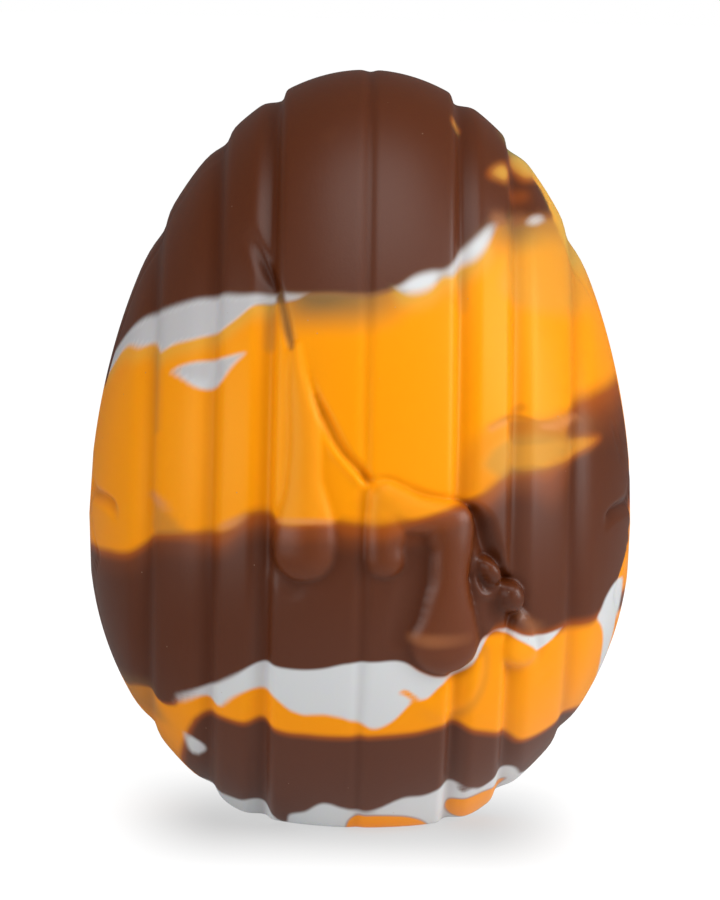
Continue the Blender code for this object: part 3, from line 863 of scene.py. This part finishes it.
card_shade.operation = "MULTIPLY"
for number, (side, start, end) in enumerate(SHADE_REACH):
    card_reach = card_nodes.new("ShaderNodeMath")
    card_reach.operation = "ABSOLUTE"
    card_fade = card_nodes.new("ShaderNodeMapRange")
    card_fade.interpolation_type = "SMOOTHSTEP"
    card_fade.inputs["From Min"].default_value = start
    card_fade.inputs["From Max"].default_value = end
    card_fade.inputs["To Min"].default_value = 1.0
    card_fade.inputs["To Max"].default_value = 0.0
    card_links.new(card_sides.outputs[side], card_reach.inputs[0])
    card_links.new(card_reach.outputs["Value"], card_fade.inputs["Value"])
    card_links.new(card_fade.outputs["Result"], card_shade.inputs[number])
# Seen by the camera the card glows white, dimmed by the painted shade round the foot
card_glow = card_nodes.new("ShaderNodeMapRange")
card_glow.inputs["To Min"].default_value = 1.0
card_glow.inputs["To Max"].default_value = 0.57
card_links.new(card_shade.outputs["Value"], card_glow.inputs["Value"])
# Toward the egg the card glows near its front, a painted bounce
card_bounce_glow = card_nodes.new("ShaderNodeMapRange")
card_bounce_glow.interpolation_type = "SMOOTHSTEP"
card_bounce_glow.inputs["From Min"].default_value = 0.04
card_bounce_glow.inputs["From Max"].default_value = 0.18
card_bounce_glow.inputs["To Min"].default_value = 0.42
card_bounce_glow.inputs["To Max"].default_value = 0.0
card_near = card_nodes.new("ShaderNodeVectorMath")
card_near.operation = "DISTANCE"
card_near.inputs[1].default_value = BOUNCE_GLOW_MIDDLE
card_seen = card_nodes.new("ShaderNodeLightPath")
card_level = card_nodes.new("ShaderNodeMix")
card_links.new(card_place.outputs["Object"], card_near.inputs[0])
card_links.new(card_near.outputs["Value"], card_bounce_glow.inputs["Value"])
card_links.new(card_seen.outputs["Is Camera Ray"], card_level.inputs["Factor"])
card_links.new(card_bounce_glow.outputs["Result"], card_level.inputs["A"])
card_links.new(card_glow.outputs["Result"], card_level.inputs["B"])
card_links.new(card_level.outputs["Result"], card_shader.inputs["Emission Strength"])
card_tone = card_nodes.new("ShaderNodeMapRange")
card_tone.inputs["To Min"].default_value = 0.45
card_tone.inputs["To Max"].default_value = 0.12
card_links.new(card_seen.outputs["Is Camera Ray"], card_tone.inputs["Value"])
card_links.new(card_tone.outputs["Result"], card_shader.inputs["Base Color"])
floor.data.materials.append(card)


LIGHT_DISTANCE = 1.1
EGG_MIDDLE = Vector((0.0, 0.0, 0.075))


def soft_light(name, turn, rise, width, length, power):
    """Soft box facing the egg: degrees to the right and up, metres and watts."""
    turn, rise = math.radians(turn), math.radians(rise)
    aside = Vector((math.cos(rise) * math.sin(turn), -math.cos(rise) * math.cos(turn),
                    math.sin(rise)))
    lamp = bpy.data.lights.new(name, "AREA")
    lamp.shape = "RECTANGLE"
    lamp.size = width
    lamp.size_y = length
    lamp.energy = power
    box = bpy.data.objects.new(name, lamp)
    bpy.context.scene.collection.objects.link(box)
    box.location = EGG_MIDDLE + LIGHT_DISTANCE * aside
    box.rotation_euler = (-aside).to_track_quat("-Z", "Y").to_euler()


soft_light("overhead_light", 9.0, 61.0, 0.85, 0.75, 5.6)
soft_light("right_light", 70.0, 20.0, 0.65, 0.70, 9.6)
soft_light("left_light", -55.0, 9.0, 0.95, 0.50, 5.4)
soft_light("front_light", 28.0, 3.0, 0.70, 0.45, 1.0)

world = bpy.data.worlds.new("studio")
world.use_nodes = True
world_nodes = world.node_tree.nodes
world_seen = world_nodes.new("ShaderNodeLightPath")
world_level = world_nodes.new("ShaderNodeMapRange")
world_level.inputs["To Min"].default_value = 0.19
world_level.inputs["To Max"].default_value = 1.0
world.node_tree.links.new(world_seen.outputs["Is Camera Ray"], world_level.inputs["Value"])
world.node_tree.links.new(world_level.outputs["Result"],
                          world_nodes["Background"].inputs["Strength"])
world_nodes["Background"].inputs["Color"].default_value = (1.0, 1.0, 1.0, 1.0)
bpy.context.scene.world = world
bpy.context.scene.view_settings.view_transform = "Standard"

# The camera stands in front of the egg, a little above its middle, and leans slightly
CAMERA_LENS = 167.4
CAMERA_DISTANCE = 0.850
CAMERA_ELEVATION = math.radians(6.19)
CAMERA_TURN = math.radians(0.6)
CAMERA_ROLL = math.radians(1.17)
reach = CAMERA_DISTANCE * math.cos(CAMERA_ELEVATION)
eye = Vector((-reach * math.sin(CAMERA_TURN), -reach * math.cos(CAMERA_TURN),
              EGG_MIDDLE.z + CAMERA_DISTANCE * math.sin(CAMERA_ELEVATION)))
aim = Vector((-0.00026, 0.0, 0.0730))
camera = bpy.data.objects.new("camera", bpy.data.cameras.new("camera"))
bpy.context.scene.collection.objects.link(camera)
camera.data.lens = CAMERA_LENS
camera.location = eye
look = (aim - eye).to_track_quat("-Z", "Y") @ Quaternion((0.0, 0.0, 1.0), CAMERA_ROLL)
camera.rotation_euler = look.to_euler()
bpy.context.scene.camera = camera
